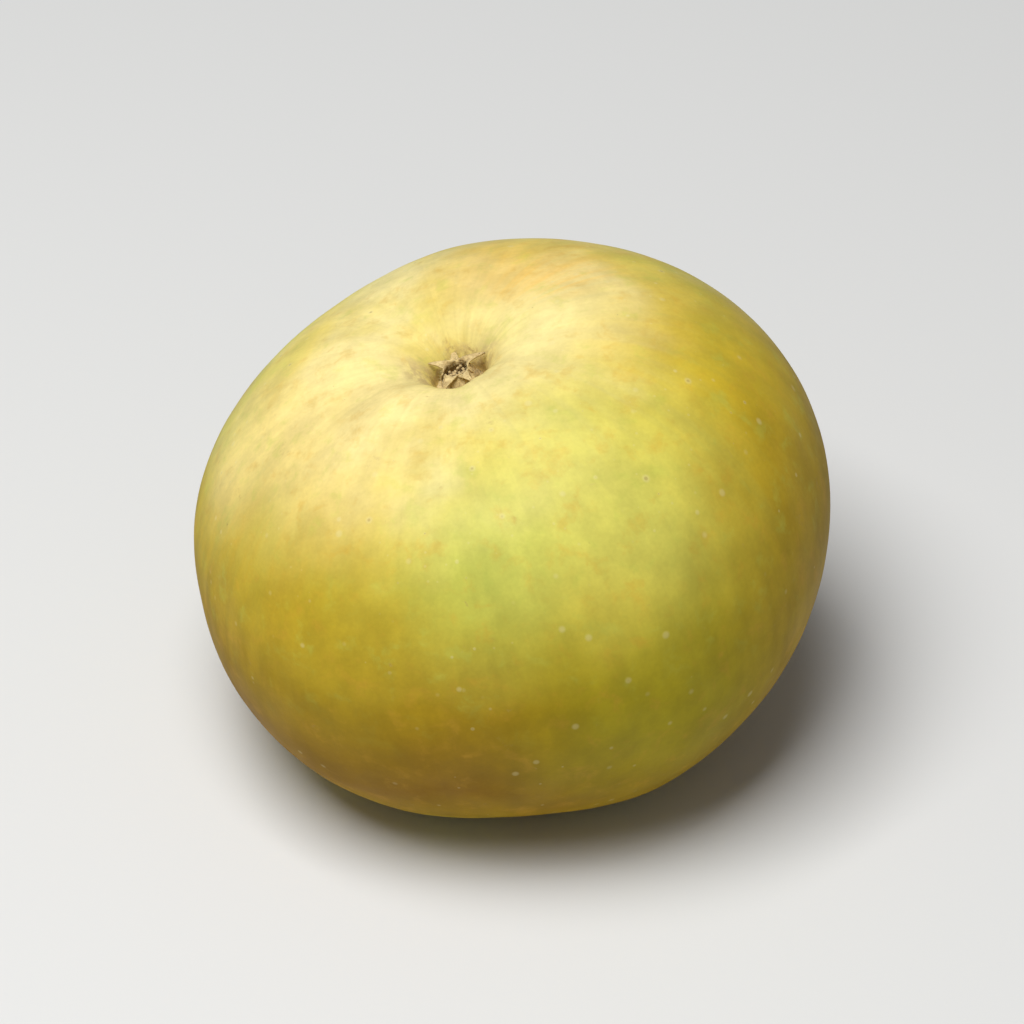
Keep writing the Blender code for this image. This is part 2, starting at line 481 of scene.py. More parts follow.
@dataclass(frozen=True)
class FruitForm:
    """The fruit's own shape, from the same sizes as its solid.

    lopsided, oval and three_sided are shares of the radius. The rises are the shares of the
    height between which the one-sided growth and the ribs of crown and base come in.
    """

    width: float = 73.0 * MM
    height: float = 52.5 * MM
    widest_share: float = 0.51
    crown_radius: float = 10.5 * MM
    basin_depth: float = 4.8 * MM
    eye_pit_radius: float = 3.0 * MM
    eye_pit_depth: float = 1.6 * MM
    base_radius: float = 14.5 * MM
    cavity_depth: float = 10.5 * MM
    stalk_pit_radius: float = 2.6 * MM
    stalk_pit_depth: float = 1.0 * MM
    lean: float = math.radians(15.5)
    lopsided: float = 0.050
    oval: float = 0.010
    oval_turn: float = 0.7
    three_sided: float = 0.008
    three_sided_turn: float = -1.1
    lobes: int = 5
    lobe_turn: float = math.radians(20)
    uneven_lobes: float = 0.3
    big_lobe_turn: float = -2.1
    side_lobe: float = 0.30 * MM
    crown_lobe: float = 0.40 * MM
    base_lobe: float = 0.30 * MM
    crown_lobe_reach: float = 9.0 * MM
    base_lobe_reach: float = 8.0 * MM
    lopsided_rise: Span = (0.0, 0.6)
    crown_rise: Span = (0.5, 0.9)
    base_rise: Span = (0.4, 0.1)
    flat_spot: float = 0.35 * MM
    box_sides: int = 96

    def arcs(self) -> list[Arc]:
        """The arcs of the half outline, from the eye pit to the stalk pit.

        Returns:
            The arcs, in order.
        """
        eye_floor = (0.0, self.height - self.basin_depth - self.eye_pit_depth)
        eye_rim = (self.eye_pit_radius, self.height - self.basin_depth)
        crown = (self.crown_radius, self.height)
        widest = (self.width / 2, self.widest_share * self.height)
        base = (self.base_radius, 0.0)
        stalk_rim = (self.stalk_pit_radius, self.cavity_depth - self.stalk_pit_depth)
        stalk_roof = (0.0, self.cavity_depth)
        return [
            Arc(eye_floor, eye_rim, 0.60, 0.40, True, 0.30 * MM),
            Arc(eye_rim, crown, 0.35, 0.66, False, 0.33 * MM),
            Arc(crown, widest, 0.53, 0.60, True, 0.66 * MM),
            Arc(widest, base, 0.52, 0.50, False, 0.74 * MM),
            Arc(base, stalk_rim, 0.40, 0.34, True, 0.50 * MM),
            Arc(stalk_rim, stalk_roof, 0.50, 0.50, False, 0.45 * MM),
        ]

    def outline(self) -> np.ndarray:
        """Points of the half outline as (radius, height), from the eye to the stalk."""
        return np.concatenate([*[arc.points() for arc in self.arcs()], [(0.0, self.cavity_depth)]])

    def lobed(self, points: np.ndarray) -> np.ndarray:
        """Points of the turned fruit, moved by the ribs and the uneven growth.

        Args:
            points: their places on the turned fruit, one a row.

        Returns:
            The moved points.
        """
        radius = np.hypot(points[:, 0], points[:, 1])
        turn = np.arctan2(points[:, 1], points[:, 0])
        rise = points[:, 2] / self.height
        uneven = 1 + self.uneven_lobes * np.cos(turn - self.big_lobe_turn)
        wave = np.cos(self.lobes * (turn - self.lobe_turn)) * uneven
        swell = 1 + self.oval * np.cos(2 * turn - self.oval_turn)
        swell += self.three_sided * np.cos(3 * turn - self.three_sided_turn)
        swell += self.lopsided * np.cos(turn) * smoothstep(*self.lopsided_rise, rise)
        out = radius * swell + self.side_lobe * wave * smoothstep(0.0, self.crown_radius, radius)
        near_crown = nearness(radius - self.crown_radius, self.crown_lobe_reach)
        near_crown *= smoothstep(*self.crown_rise, rise)
        near_base = nearness(radius - self.base_radius, self.base_lobe_reach)
        near_base *= smoothstep(*self.base_rise, rise)
        up = wave * (self.crown_lobe * near_crown - self.base_lobe * near_base)
        return np.stack([out * np.cos(turn), out * np.sin(turn), points[:, 2] + up], axis=1)

    def leaned(self, points: np.ndarray) -> np.ndarray:
        """The same points with the core bent towards -X, more so towards the eye.

        Args:
            points: the points to bend, one a row.

        Returns:
            The moved points.
        """
        x, y, z = points.T
        angle = self.lean * z / self.height
        shift = -0.5 * self.lean * z * z / self.height
        return np.stack([x * np.cos(angle) + shift, y, z + x * np.sin(angle)], axis=1)

    def centring(self) -> np.ndarray:
        """How far the leaned fruit is moved to stand in the middle of its box in the frame.

        Returns:
            The x, y and z that it moves by.
        """
        grown = self.leaned(self.lobed(turned_rings(self.outline(), self.box_sides)))
        low, high = (np.array(corner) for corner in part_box(Part.FRUIT.value))
        move = (low + high) / 2 - (grown.min(axis=0) + grown.max(axis=0)) / 2
        return np.array([move[0], move[1], -self.flat_spot])

    def grown(self, points: np.ndarray) -> np.ndarray:
        """Where points of the turned fruit are on the real one, in the frame.

        Args:
            points: their places on the turned fruit, one a row.

        Returns:
            One place a row.
        """
        places = self.leaned(self.lobed(points)) + self.centring()
        places[:, 2] = np.maximum(places[:, 2], 0.0)
        return places

    def core(self, height: float) -> Matrix:
        """The place and tilt of the core at a height of the turned fruit.

        Args:
            height: the height above the base.

        Returns:
            The place and the turn as one matrix.
        """
        spot = self.grown(np.array([[0.0, 0.0, height]]))[0]
        tilt = Euler((0.0, -self.lean * height / self.height, 0.0)).to_matrix().to_4x4()
        return Matrix.Translation(Vector(spot)) @ tilt


def turned_rings(outline: np.ndarray, sides: int) -> np.ndarray:
    """Rings of points that turn a half outline round the Z axis.

    Args:
        outline: (radius, height) of each ring.
        sides: how many points a ring has.

    Returns:
        The points, ring by ring.
    """
    turns = np.linspace(0.0, math.tau, sides, endpoint=False)
    x = np.outer(outline[:, 0], np.cos(turns))
    y = np.outer(outline[:, 0], np.sin(turns))
    z = np.repeat(outline[:, 1:2], sides, axis=1)
    return np.stack([x, y, z], axis=-1).reshape(-1, 3)


@dataclass(frozen=True)
class Patch:
    """An area of the skin with a colour of its own, placed on the fruit before it leaned.

    turn is in degrees round the core, 0 at +X and 90 at +Y. radius is from the core, height
    from the base and reach the distance at which the patch has half faded, in millimetres.
    """

    turn: float
    radius: float
    height: float
    reach: float
    colour: Colour
    strength: float
    edge: Edge = Edge.SOFT

    SOFTNESS = 0.8

    def centre(self) -> Point:
        """Its middle as x, y, z."""
        angle = math.radians(self.turn)
        return self.radius * MM * math.cos(angle), self.radius * MM * math.sin(angle), self.height * MM

    def fade(self) -> Span:
        """The distances from its middle at which it is gone and at which it is full."""
        return self.reach * MM * (1 + self.SOFTNESS), self.reach * MM * (1 - self.SOFTNESS)


@dataclass(frozen=True)
class DotLayer:
    """One size of pale dot on the skin.

    spacing is the mean distance between dots, radii are the least and the greatest, and
    missing is the share that doesn't show. The layer comes in between two heights, if any.
    """

    spacing: float
    radii: Span
    missing: float
    strength: float
    heights: Span | None = None


@dataclass(frozen=True)
class SkinSpot:
    """What the finish of the skin knows about a point of it, as sockets.

    place is where it was on the turned fruit, in metres, and bent is the same place moved
    about a little. height is from the base. The others go from 0 to 1: lengthwise streaks,
    how far a rough zone reaches, and the grain of the pores and of russet's scales.
    """

    place: Socket
    bent: Socket
    height: Socket
    streaks: Socket
    rough: Socket
    pores: Socket
    scales: Socket


@dataclass(frozen=True)
class SkinFinish:
    """Satin apple skin with russet: cream above (partly painted highlight), yellow-green round the middle,
    ochre below (partly painted shade).
    """

    # cream and peach are partly painted highlight, where the crown and the upper left face the light.
    cream_and_highlight: Colour = (0.84, 0.71, 0.30)
    peach_and_highlight: Colour = (0.86, 0.68, 0.27)
    pale_gold: Colour = (0.75, 0.60, 0.145)
    yellow_green: Colour = (0.60, 0.54, 0.085)
    citron: Colour = (0.68, 0.66, 0.150)
    straw: Colour = (0.53, 0.43, 0.045)
    green: Colour = (0.48, 0.53, 0.085)
    gold: Colour = (0.65, 0.48, 0.035)
    amber: Colour = (0.56, 0.38, 0.015)
    mustard: Colour = (0.47, 0.34, 0.012)
    tan: Colour = (0.45, 0.295, 0.015)
    olive: Colour = (0.42, 0.36, 0.008)
    ochre: Colour = (0.38, 0.235, 0.004)
    orange: Colour = (0.60, 0.33, 0.030)
    # brown, with the ochre of the bands, is partly painted shade of the lower half.
    brown_and_shade: Colour = (0.29, 0.150, 0.003)
    blush: Colour = (0.76, 0.43, 0.070)
    russet: Colour = (0.45, 0.31, 0.115)
    dark_russet: Colour = (0.27, 0.165, 0.055)
    pale_russet: Colour = (0.56, 0.43, 0.19)
    dot: Colour = (0.76, 0.67, 0.33)
    dot_eye: Colour = (0.26, 0.15, 0.05)

    streak_ring: float = 36 * MM
    streak_squeeze: float = 0.14
    broad_streaks: Grain = Grain(5 * MM)
    fine_streaks: Grain = Grain(1.6 * MM, 3.0)
    fine_share: float = 0.45
    bend: Grain = Grain(4 * MM, 3.0)
    bend_by: float = 1.5 * MM
    pores: Grain = Grain(0.45 * MM)
    scales: Grain = Grain(0.6 * MM, 3.0, 0.68)

    band_drift: Grain = Grain(22 * MM)
    band_drift_share: float = 0.30
    band_edge: Grain = Grain(6 * MM, 3.0)
    band_edge_share: float = 0.10

    patch_drift: Grain = Grain(14 * MM, 3.0)
    patch_drift_by: float = 4 * MM
    netting: Grain = Grain(1.7 * MM, 3.0, 0.65)
    netted_edge: Rise = (0.38, 0.60, 0.2, 1.3)
    streaked_edge: Rise = (0.36, 0.62, 0.35, 1.25)

    flecks: Grain = Grain(3.2 * MM, 4.0, 0.62)
    warm_flecks: Rise = (0.52, 0.74, 0.0, 0.34)
    green_flecks: Rise = (0.47, 0.27, 0.0, 1.0)
    green_heights: Rise = (20 * MM, 36 * MM, 0.0, 0.30)
    clouds: Grain = Grain(5 * MM, 4.0, 0.6)
    cloud_light: Rise = (0.30, 0.70, 0.90, 1.08)
    streak_light: Rise = (0.30, 0.70, 0.94, 1.05)
    pore_light: Rise = (0.30, 0.70, 0.975, 1.02)

    crown_heights: Rise = (40 * MM, 46 * MM, 0.0, 1.0)
    eye_russet: Rise = (5.2 * MM, 2.8 * MM, 0.0, 0.30)
    cavity_heights: Rise = (13 * MM, 9 * MM, 0.0, 1.0)
    cavity_russet: Rise = (19 * MM, 8 * MM, 0.0, 0.5)
    russet_net: Grain = Grain(2.2 * MM, 4.0, 0.65)
    russet_fields: Grain = Grain(17 * MM, 1.0)
    scattered_russet: Rise = (0.60, 0.78, 0.0, 0.06)
    scale_share: float = 0.22
    russet_cover: Rise = (0.76, 1.00, 0.0, 0.80)
    russet_tone: Grain = Grain(1.9 * MM)
    paler_russet: Rise = (0.45, 0.75, 0.0, 1.0)
    darker_scales: Rise = (0.50, 0.68, 0.0, 0.75)

    dot_onset: float = 0.04
    dot_edge: Rise = (1.5, 0.6, 0.0, 1.0)
    opened_dots: Rise = (0.86, 0.90, 0.0, 1.0)
    opening: Rise = (0.8, 0.3, 0.0, 0.4)

    wear: Grain = Grain(8 * MM, 3.0)
    roughness: Rise = (0.3, 0.7, 0.37, 0.49)
    rougher_below: Rise = (50 * MM, 30 * MM, 0.0, 0.22)
    rougher_russet: float = 0.30
    gloss: float = 0.20
    ior: float = 1.45

    lumps: Grain = Grain(2.4 * MM)
    pore_mm: float = 0.010
    lump_mm: float = 0.030
    scurf_mm: float = 0.14
    dot_mm: float = 0.012

    def bands(self) -> tuple[tuple[float, Colour], ...]:
        """The ground colour at shares of the fruit's height, from its base to its crown.

        Returns:
            Each share with its colour.
        """
        # The ochre and brown of the lower half are partly painted shade, and the cream at the crown is
        # partly a painted highlight.
        return (
            (0.02, self.straw),
            (0.13, self.ochre),
            (0.28, self.brown_and_shade),
            (0.58, self.ochre),
            (0.765, self.straw),
            (0.87, self.yellow_green),
            (0.945, self.pale_gold),
            (1.00, self.cream_and_highlight),
        )

    def patches(self) -> tuple[Patch, ...]:
        """The patches of colour, the lowest layer first.

        Returns:
            The patches, in the order in which they are laid on.
        """
        return (
            Patch(-30, 33, 40, 17, self.gold, 0.75, Edge.STREAKED),
            Patch(-6, 31, 44, 14, self.amber, 0.65),
            Patch(-52, 27, 46, 12, self.yellow_green, 0.65),
            Patch(-90, 30, 43, 9, self.green, 0.60),
            Patch(-58, 36, 25, 14, self.olive, 0.75),
            Patch(-20, 37, 31, 12, self.ochre, 0.60, Edge.STREAKED),
            Patch(-64, 33, 39, 5, self.gold, 0.40),
            Patch(-125, 33, 39, 12, self.mustard, 0.60),
            Patch(-152, 33, 41, 11, self.amber, 0.50, Edge.STREAKED),
            Patch(-136, 33, 40, 12, self.tan, 0.50, Edge.STREAKED),
            Patch(-104, 35, 36, 9, self.tan, 0.30),
            Patch(-56, 28, 45, 12, self.citron, 0.45),
            # Peach on the upper left: partly the skin's tone, partly a painted highlight.
            Patch(-148, 18, 52, 12, self.peach_and_highlight, 0.65),
            Patch(-172, 27, 48, 8, self.peach_and_highlight, 0.60),
            Patch(112, 35, 35, 15, self.green, 0.60),
            Patch(150, 36, 24, 14, self.olive, 0.60),
            Patch(60, 34, 38, 19, self.orange, 0.35, Edge.STREAKED),
            Patch(38, 36, 27, 13, self.gold, 0.50, Edge.STREAKED),
            Patch(88, 35, 32, 12, self.gold, 0.55, Edge.STREAKED),
            Patch(178, 36, 24, 12, self.gold, 0.35, Edge.STREAKED),
            # Cream behind the eye: a painted highlight over the skin's own cream.
            Patch(35, 8, 52, 7, self.cream_and_highlight, 0.60),
            Patch(-172, 4.3, 49.4, 2.4, self.pale_russet, 0.80, Edge.NETTED),
            Patch(12, 4.2, 49.4, 2.0, self.pale_russet, 0.65, Edge.NETTED),
            Patch(72, 15, 52, 6, self.blush, 0.34),
            Patch(42, 15, 52, 5, self.blush, 0.45, Edge.STREAKED),
        )

    def dot_layers(self) -> tuple[DotLayer, ...]:
        """The pale dots: larger ones all over, and small close ones round the eye.

        Returns:
            The layers, in the order in which they are laid on.
        """
        return (
            DotLayer(2.5 * MM, (0.14 * MM, 0.38 * MM), 0.42, 0.30),
            DotLayer(1.3 * MM, (0.06 * MM, 0.15 * MM), 0.30, 0.20, (38 * MM, 46 * MM)),
        )

    def make(self) -> Material:
        """Build the material.

        Returns:
            The material, which reads where a point was on the turned fruit from the mesh.
        """
        shader = Shader("apple_skin")
        spot = self.spot(shader)
        colour = self.ground(shader, spot)
        colour = self.painted(shader, colour, spot)
        colour = self.mottled(shader, colour, spot)
        russet = self.russet_share(shader, spot)
        colour = shader.mix(russet, colour, self.russet_colour(shader, spot))
        colour, dots = self.dotted(shader, colour, spot)
        shader.set(Base_Color=colour)
        self.shine(shader, spot, russet)
        self.relief(shader, spot, dots)
        return shader.material

    def spot(self, shader: Shader) -> SkinSpot:
        """Work out what the rest of the finish asks about a point of the skin.

        Args:
            shader: the nodes to add to.

        Returns:
            The sockets that tell it.
        """
        place = shader.attribute(Fruit.PLACE)
        x, y, height = shader.split(place)
        flat = shader.joined(x, y, 0.0)
        radius = shader.distance(flat, ORIGIN)
        crown = shader.rise(height, *self.crown_heights)
        eye = shader.times(crown, shader.rise(radius, *self.eye_russet))
        base = shader.rise(height, *self.cavity_heights)
        cavity = shader.times(base, shader.rise(radius, *self.cavity_russet))
        return SkinSpot(
            place=place,
            bent=shader.wander(place, self.bend, self.bend_by),
            height=height,
            streaks=self.streaks(shader, shader.vectors("NORMALIZE", flat, ORIGIN), height),
            rough=shader.maths("MAXIMUM", eye, cavity),
            pores=shader.grain(place, self.pores),
            scales=shader.grain(place, self.scales),
        )

    def streaks(self, shader: Shader, around: Socket, height: Socket) -> Socket:
        """Fine lengthwise streaks, which run from the eye to the stalk.

        Args:
            shader: the nodes to add to.
            around: the way from the core to the surface, with a length of 1.
            height: how high the surface is above the base.

        Returns:
            A number from 0 to 1.
        """
        lengthwise = shader.joined(0.0, 0.0, shader.times(height, self.streak_squeeze))
        stretched = shader.vectors("ADD", shader.scaled(around, self.streak_ring), lengthwise)
        broad = shader.times(shader.grain(stretched, self.broad_streaks), 1 - self.fine_share)
        return shader.plus(broad, shader.grain(stretched, self.fine_streaks), self.fine_share)

    def ground(self, shader: Shader, spot: SkinSpot) -> Socket:
        """The colour under everything, in bands whose edges wander up and down.

        Args:
            shader: the nodes to add to.
            spot: where the surface is.

        Returns:
            The colour.
        """
        drift = shader.maths("SUBTRACT", shader.grain(spot.place, self.band_drift), 0.5)
        ragged = shader.maths("SUBTRACT", shader.grain(spot.place, self.band_edge), 0.5)
        level = shader.maths("DIVIDE", spot.height, FruitForm.height)
        level = shader.plus(level, drift, self.band_drift_share)
        level = shader.plus(level, ragged, self.band_edge_share)
        return shader.ramp(level, self.bands())

    def painted(self, shader: Shader, colour: Socket, spot: SkinSpot) -> Socket:
        """Lay the patches on a colour.

        Args:
            shader: the nodes to add to.
            colour: the colour below.
            spot: where the surface is.

        Returns:
            The new colour.
        """
        moved = shader.wander(spot.place, self.patch_drift, self.patch_drift_by)
        netting = shader.grain(spot.place, self.netting)
        broken = {
            Edge.STREAKED: shader.rise(spot.streaks, *self.streaked_edge),
            Edge.NETTED: shader.rise(netting, *self.netted_edge),
        }
        for patch in self.patches():
            away = shader.distance(moved, patch.centre())
            share = shader.rise(away, *patch.fade(), 0.0, patch.strength)
            if patch.edge in broken:
                share = shader.times(share, broken[patch.edge])
            colour = shader.mix(share, colour, patch.colour)
        return colour

    def mottled(self, shader: Shader, colour: Socket, spot: SkinSpot) -> Socket:
        """Vary a colour in small patches: warm and green flecks, then light and dark.

        Args:
            shader: the nodes to add to.
            colour: the colour below.
            spot: where the surface is.

        Returns:
            The new colour.
        """
        flecks = shader.grain(spot.bent, self.flecks)
        colour = shader.mix(shader.rise(flecks, *self.warm_flecks), colour, self.orange)
        upper = shader.rise(spot.height, *self.green_heights)
        cool = shader.times(shader.rise(flecks, *self.green_flecks), upper)
        colour = shader.mix(cool, colour, self.green)
        light = shader.rise(shader.grain(spot.place, self.clouds), *self.cloud_light)
        light = shader.times(light, shader.rise(spot.streaks, *self.streak_light))
        light = shader.times(light, shader.rise(spot.pores, *self.pore_light))
        return shader.lit(colour, light)

    def russet_share(self, shader: Shader, spot: SkinSpot) -> Socket:
        """How much russet there is: a thin net round the eye, and a full one in the stalk cavity.

        Args:
            shader: the nodes to add to.
            spot: where the surface is.

        Returns:
            A number from 0 to 1.
        """
        net = shader.grain(spot.bent, self.russet_net)
        scattered = shader.rise(shader.grain(spot.place, self.russet_fields), *self.scattered_russet)
        reached = shader.maths("ADD", net, shader.maths("MAXIMUM", spot.rough, scattered))
        reached = shader.plus(reached, spot.scales, self.scale_share)
        return shader.rise(reached, *self.russet_cover)

    def russet_colour(self, shader: Shader, spot: SkinSpot) -> Socket:
        """The uneven tan of russet, which is scaly up close.

        Args:
            shader: the nodes to add to.
            spot: where the surface is.

        Returns:
            The colour.
        """
        tone = shader.rise(shader.grain(spot.place, self.russet_tone), *self.paler_russet)
        colour = shader.mix(tone, self.russet, self.pale_russet)
        return shader.mix(shader.rise(spot.scales, *self.darker_scales), colour, self.dark_russet)

    def dotted(self, shader: Shader, colour: Socket, spot: SkinSpot) -> tuple[Socket, Socket]:
        """Lay on pale breathing dots, a few of which have a darker middle where they have opened.

        Args:
            shader: the nodes to add to.
            colour: the colour that they lie on.
            spot: where the surface is.

        Returns:
            The new colour, and how much of a larger dot there is.
        """
        cover = []
        for layer in self.dot_layers():
            away, chance = shader.spots(spot.place, layer.spacing)
            which, size, _ = shader.split(chance)
            inside = shader.maths("DIVIDE", away, shader.rise(size, 0.0, 1.0, *layer.radii))
            shown = shader.rise(which, layer.missing, layer.missing + self.dot_onset)
            if layer.heights:
                shown = shader.times(shown, shader.rise(spot.height, *layer.heights))
            cover.append(shader.times(shown, shader.rise(inside, *self.dot_edge)))
            colour = shader.mix(shader.times(cover[-1], layer.strength), colour, self.dot)
            opened = shader.rise(which, *self.opened_dots)
            opened = shader.times(opened, shader.rise(inside, *self.opening))
            colour = shader.mix(shader.times(opened, shown), colour, self.dot_eye)
        return colour, cover[0]

    def shine(self, shader: Shader, spot: SkinSpot, russet: Socket) -> None:
        """Set how the skin shines, which is less on russet and towards the base.

        Args:
            shader: the nodes to add to.
            spot: where the surface is.
            russet: how much russet there is.
        """
        rough = shader.rise(shader.grain(spot.place, self.wear), *self.roughness)
        rough = shader.maths("ADD", rough, shader.rise(spot.height, *self.rougher_below))
        rough = shader.plus(rough, russet, self.rougher_russet)
        shader.set(Roughness=rough, Specular_IOR_Level=self.gloss, IOR=self.ior)

    def relief(self, shader: Shader, spot: SkinSpot, dots: Socket) -> None:
        """Set the fine relief, which Blender works out three times, so it has few nodes.

        Args:
            shader: the nodes to add to.
            spot: where the surface is.
            dots: how much of a larger dot there is.
        """
        height = shader.times(spot.pores, self.pore_mm)
        height = shader.plus(height, shader.grain(spot.place, self.lumps), self.lump_mm)
        height = shader.plus(height, shader.times(spot.rough, spot.scales), self.scurf_mm)
        shader.raise_by(shader.plus(height, dots, self.dot_mm))


@dataclass(frozen=True)
class DryFinish:
    """Dry plant matter, such as sepals and stamens, with a matt and faintly downy surface."""

    name: str
    dark: Colour
    pale: Colour
    grain_size: float
    relief_mm: float
    roughness: float = 0.85

    TONES = (0.34, 0.64)
    FINE_SHARE = 0.4
    FUZZ = 0.10
    FUZZ_ROUGHNESS = 0.6

    def make(self) -> Material:
        """Build the material.

        Returns:
            The material, whose grain is finer than the piece.
        """
        shader = Shader(self.name)
        place = shader.object_place()
        broad = shader.grain(place, Grain(3 * self.grain_size, 3.0, 0.6))
        fine = shader.grain(place, Grain(self.grain_size, 4.0, 0.7))
        share = shader.plus(shader.times(broad, 1 - self.FINE_SHARE), fine, self.FINE_SHARE)
        shader.set(Base_Color=shader.mix(shader.rise(share, *self.TONES), self.dark, self.pale))
        shader.set(Roughness=self.roughness, Sheen_Weight=self.FUZZ, Sheen_Roughness=self.FUZZ_ROUGHNESS)
        shader.raise_by(shader.times(fine, self.relief_mm))
        return shader.material


@dataclass(frozen=True)
class FloorFinish:
    """Plain pale matt floor."""

    colour: Colour = (0.72, 0.72, 0.71)
    cloud: Grain = Grain(0.35)
    tones: Rise = (0.2, 0.8, 0.985, 1.0)
    roughness: float = 0.9
    gloss: float = 0.2

    def make(self) -> Material:
        """Build the material.

        Returns:
            The material.
        """
        shader = Shader("floor_matt")
        tone = shader.rise(shader.grain(shader.object_place(), self.cloud), *self.tones)
        shader.set(Base_Color=shader.lit(self.colour, tone))
        shader.set(Roughness=self.roughness, Specular_IOR_Level=self.gloss)
        return shader.material


def dress(item: Piece, finish: Material, stands_for: Part) -> Piece:
    """Give a piece its finish and its place in the frame.

    Args:
        item: the piece.
        finish: its material.
        stands_for: the solid that the piece replaces.

    Returns:
        The same piece.
    """
    item.data.materials.append(finish)
    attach(item, BODY)
    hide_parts(stands_for.value)
    return item


@dataclass(frozen=True)
class Puckers:
    """Small folds that run out from the eye or from the stalk, some deeper than others.

    radius is where they are highest, waver is how unevenly they are spaced, and side is 1 or
    -1: on which side of the fruit they are the deeper.
    """

    count: int
    height: float
    radius: float
    reach: float
    waver: float
    side: int

    DEPTH = 0.7

    def relief(self, turn: np.ndarray, radius: np.ndarray, unevenness: np.ndarray) -> np.ndarray:
        """How far the folds stand proud of the smooth form.

        Args:
            turn: the angle of each point round the core.
            radius: its distance from the core.
            unevenness: noise from about -1 to 1 that varies with the angle alone.

        Returns:
            One height for each point.
        """
        wave = np.cos(self.count * turn + self.waver * unevenness)
        wave *= self.DEPTH + self.side * unevenness
        return self.height * wave * nearness(radius - self.radius, self.reach)


@dataclass
class Fruit:
    """The fruit's skin, with its low lumps and the puckers round its eye and its stalk."""

    form: FruitForm
    finish: SkinFinish = SkinFinish()
    sides: int = 440
    lump: float = 0.17 * MM
    lump_size: float = 13 * MM
    dimple: float = 0.05 * MM
    dimple_size: float = 4.5 * MM
    lumpy_radii: Span = (3 * MM, 7 * MM)
    lumpy_heights: Span = (0.5 * MM, 4 * MM)
    eye_puckers: Puckers = Puckers(11, 0.07 * MM, 5.2 * MM, 2.2 * MM, 2.5, 1)
    stalk_puckers: Puckers = Puckers(9, 0.20 * MM, 6.5 * MM, 3.0 * MM, 2.0, -1)
    cavity_top: float = 11 * MM
    noise_start: float = 7.0
    noise_size: float = 0.6

    PLACE = "turned_place"

    def relief(self, turned: np.ndarray) -> np.ndarray:
        """How far each point of the turned fruit stands proud of the smooth form.

        Args:
            turned: the points.

        Returns:
            One distance for each point.
        """
        radius = np.hypot(turned[:, 0], turned[:, 1])
        turn = np.arctan2(turned[:, 1], turned[:, 0])
        height = turned[:, 2]
        lumps = self.lump * ripple(turned, self.lump_size)
        lumps += self.dimple * ripple(turned, self.dimple_size)
        lumps *= smoothstep(*self.lumpy_radii, radius) * smoothstep(*self.lumpy_heights, height)
        around = np.stack([np.cos(turn), np.sin(turn), 0 * turn], axis=1)
        unevenness = ripple(around + self.noise_start, self.noise_size)
        eye = self.eye_puckers.relief(turn, radius, unevenness) * (height > self.form.height / 2)
        stalk = self.stalk_puckers.relief(turn, radius, unevenness) * (height < self.cavity_top)
        return lumps + eye + stalk

    def build(self) -> Piece:
        """Build the skin as one closed mesh that keeps where each point was on the turned fruit.

        Returns:
            The skin.
        """
        outline = self.form.outline()
        rings = turned_rings(outline[1:-1], self.sides)
        turned = np.concatenate([[(0.0, 0.0, outline[0, 1])], rings, [(0.0, 0.0, outline[-1, 1])]])
        faces = grid_faces(len(outline) - 2, self.sides, 1, True)
        last = len(turned) - 1
        for column in range(self.sides):
            after = (column + 1) % self.sides
            faces.append((0, 1 + column, 1 + after))
            faces.append((last, last - self.sides + after, last - self.sides + column))
        shell = Shell()
        shell.add(self.form.grown(turned), faces)
        skin = shell.piece("skin")
        self.raise_skin(skin.data, turned)
        return dress(skin, self.finish.make(), Part.FRUIT)

    def raise_skin(self, mesh: bpy.types.Mesh, turned: np.ndarray) -> None:
        """Move the skin's points along their normals, and keep the turned places on it.

        Args:
            mesh: the mesh of the skin.
            turned: where its points are on the turned fruit.
        """
        normals = np.empty(len(turned) * 3, np.float32)
        points = np.empty(len(turned) * 3, np.float32)
        mesh.vertex_normals.foreach_get("vector", normals)
        mesh.vertices.foreach_get("co", points)
        raised = points.reshape(-1, 3) + normals.reshape(-1, 3) * self.relief(turned)[:, None]
        raised[:, 2] = np.maximum(raised[:, 2], 0.0)
        mesh.vertices.foreach_set("co", raised.astype(np.float32).ravel())
        kept = mesh.attributes.new(self.PLACE, "FLOAT_VECTOR", "POINT")
        kept.data.foreach_set("vector", turned.astype(np.float32).ravel())
        mesh.update()


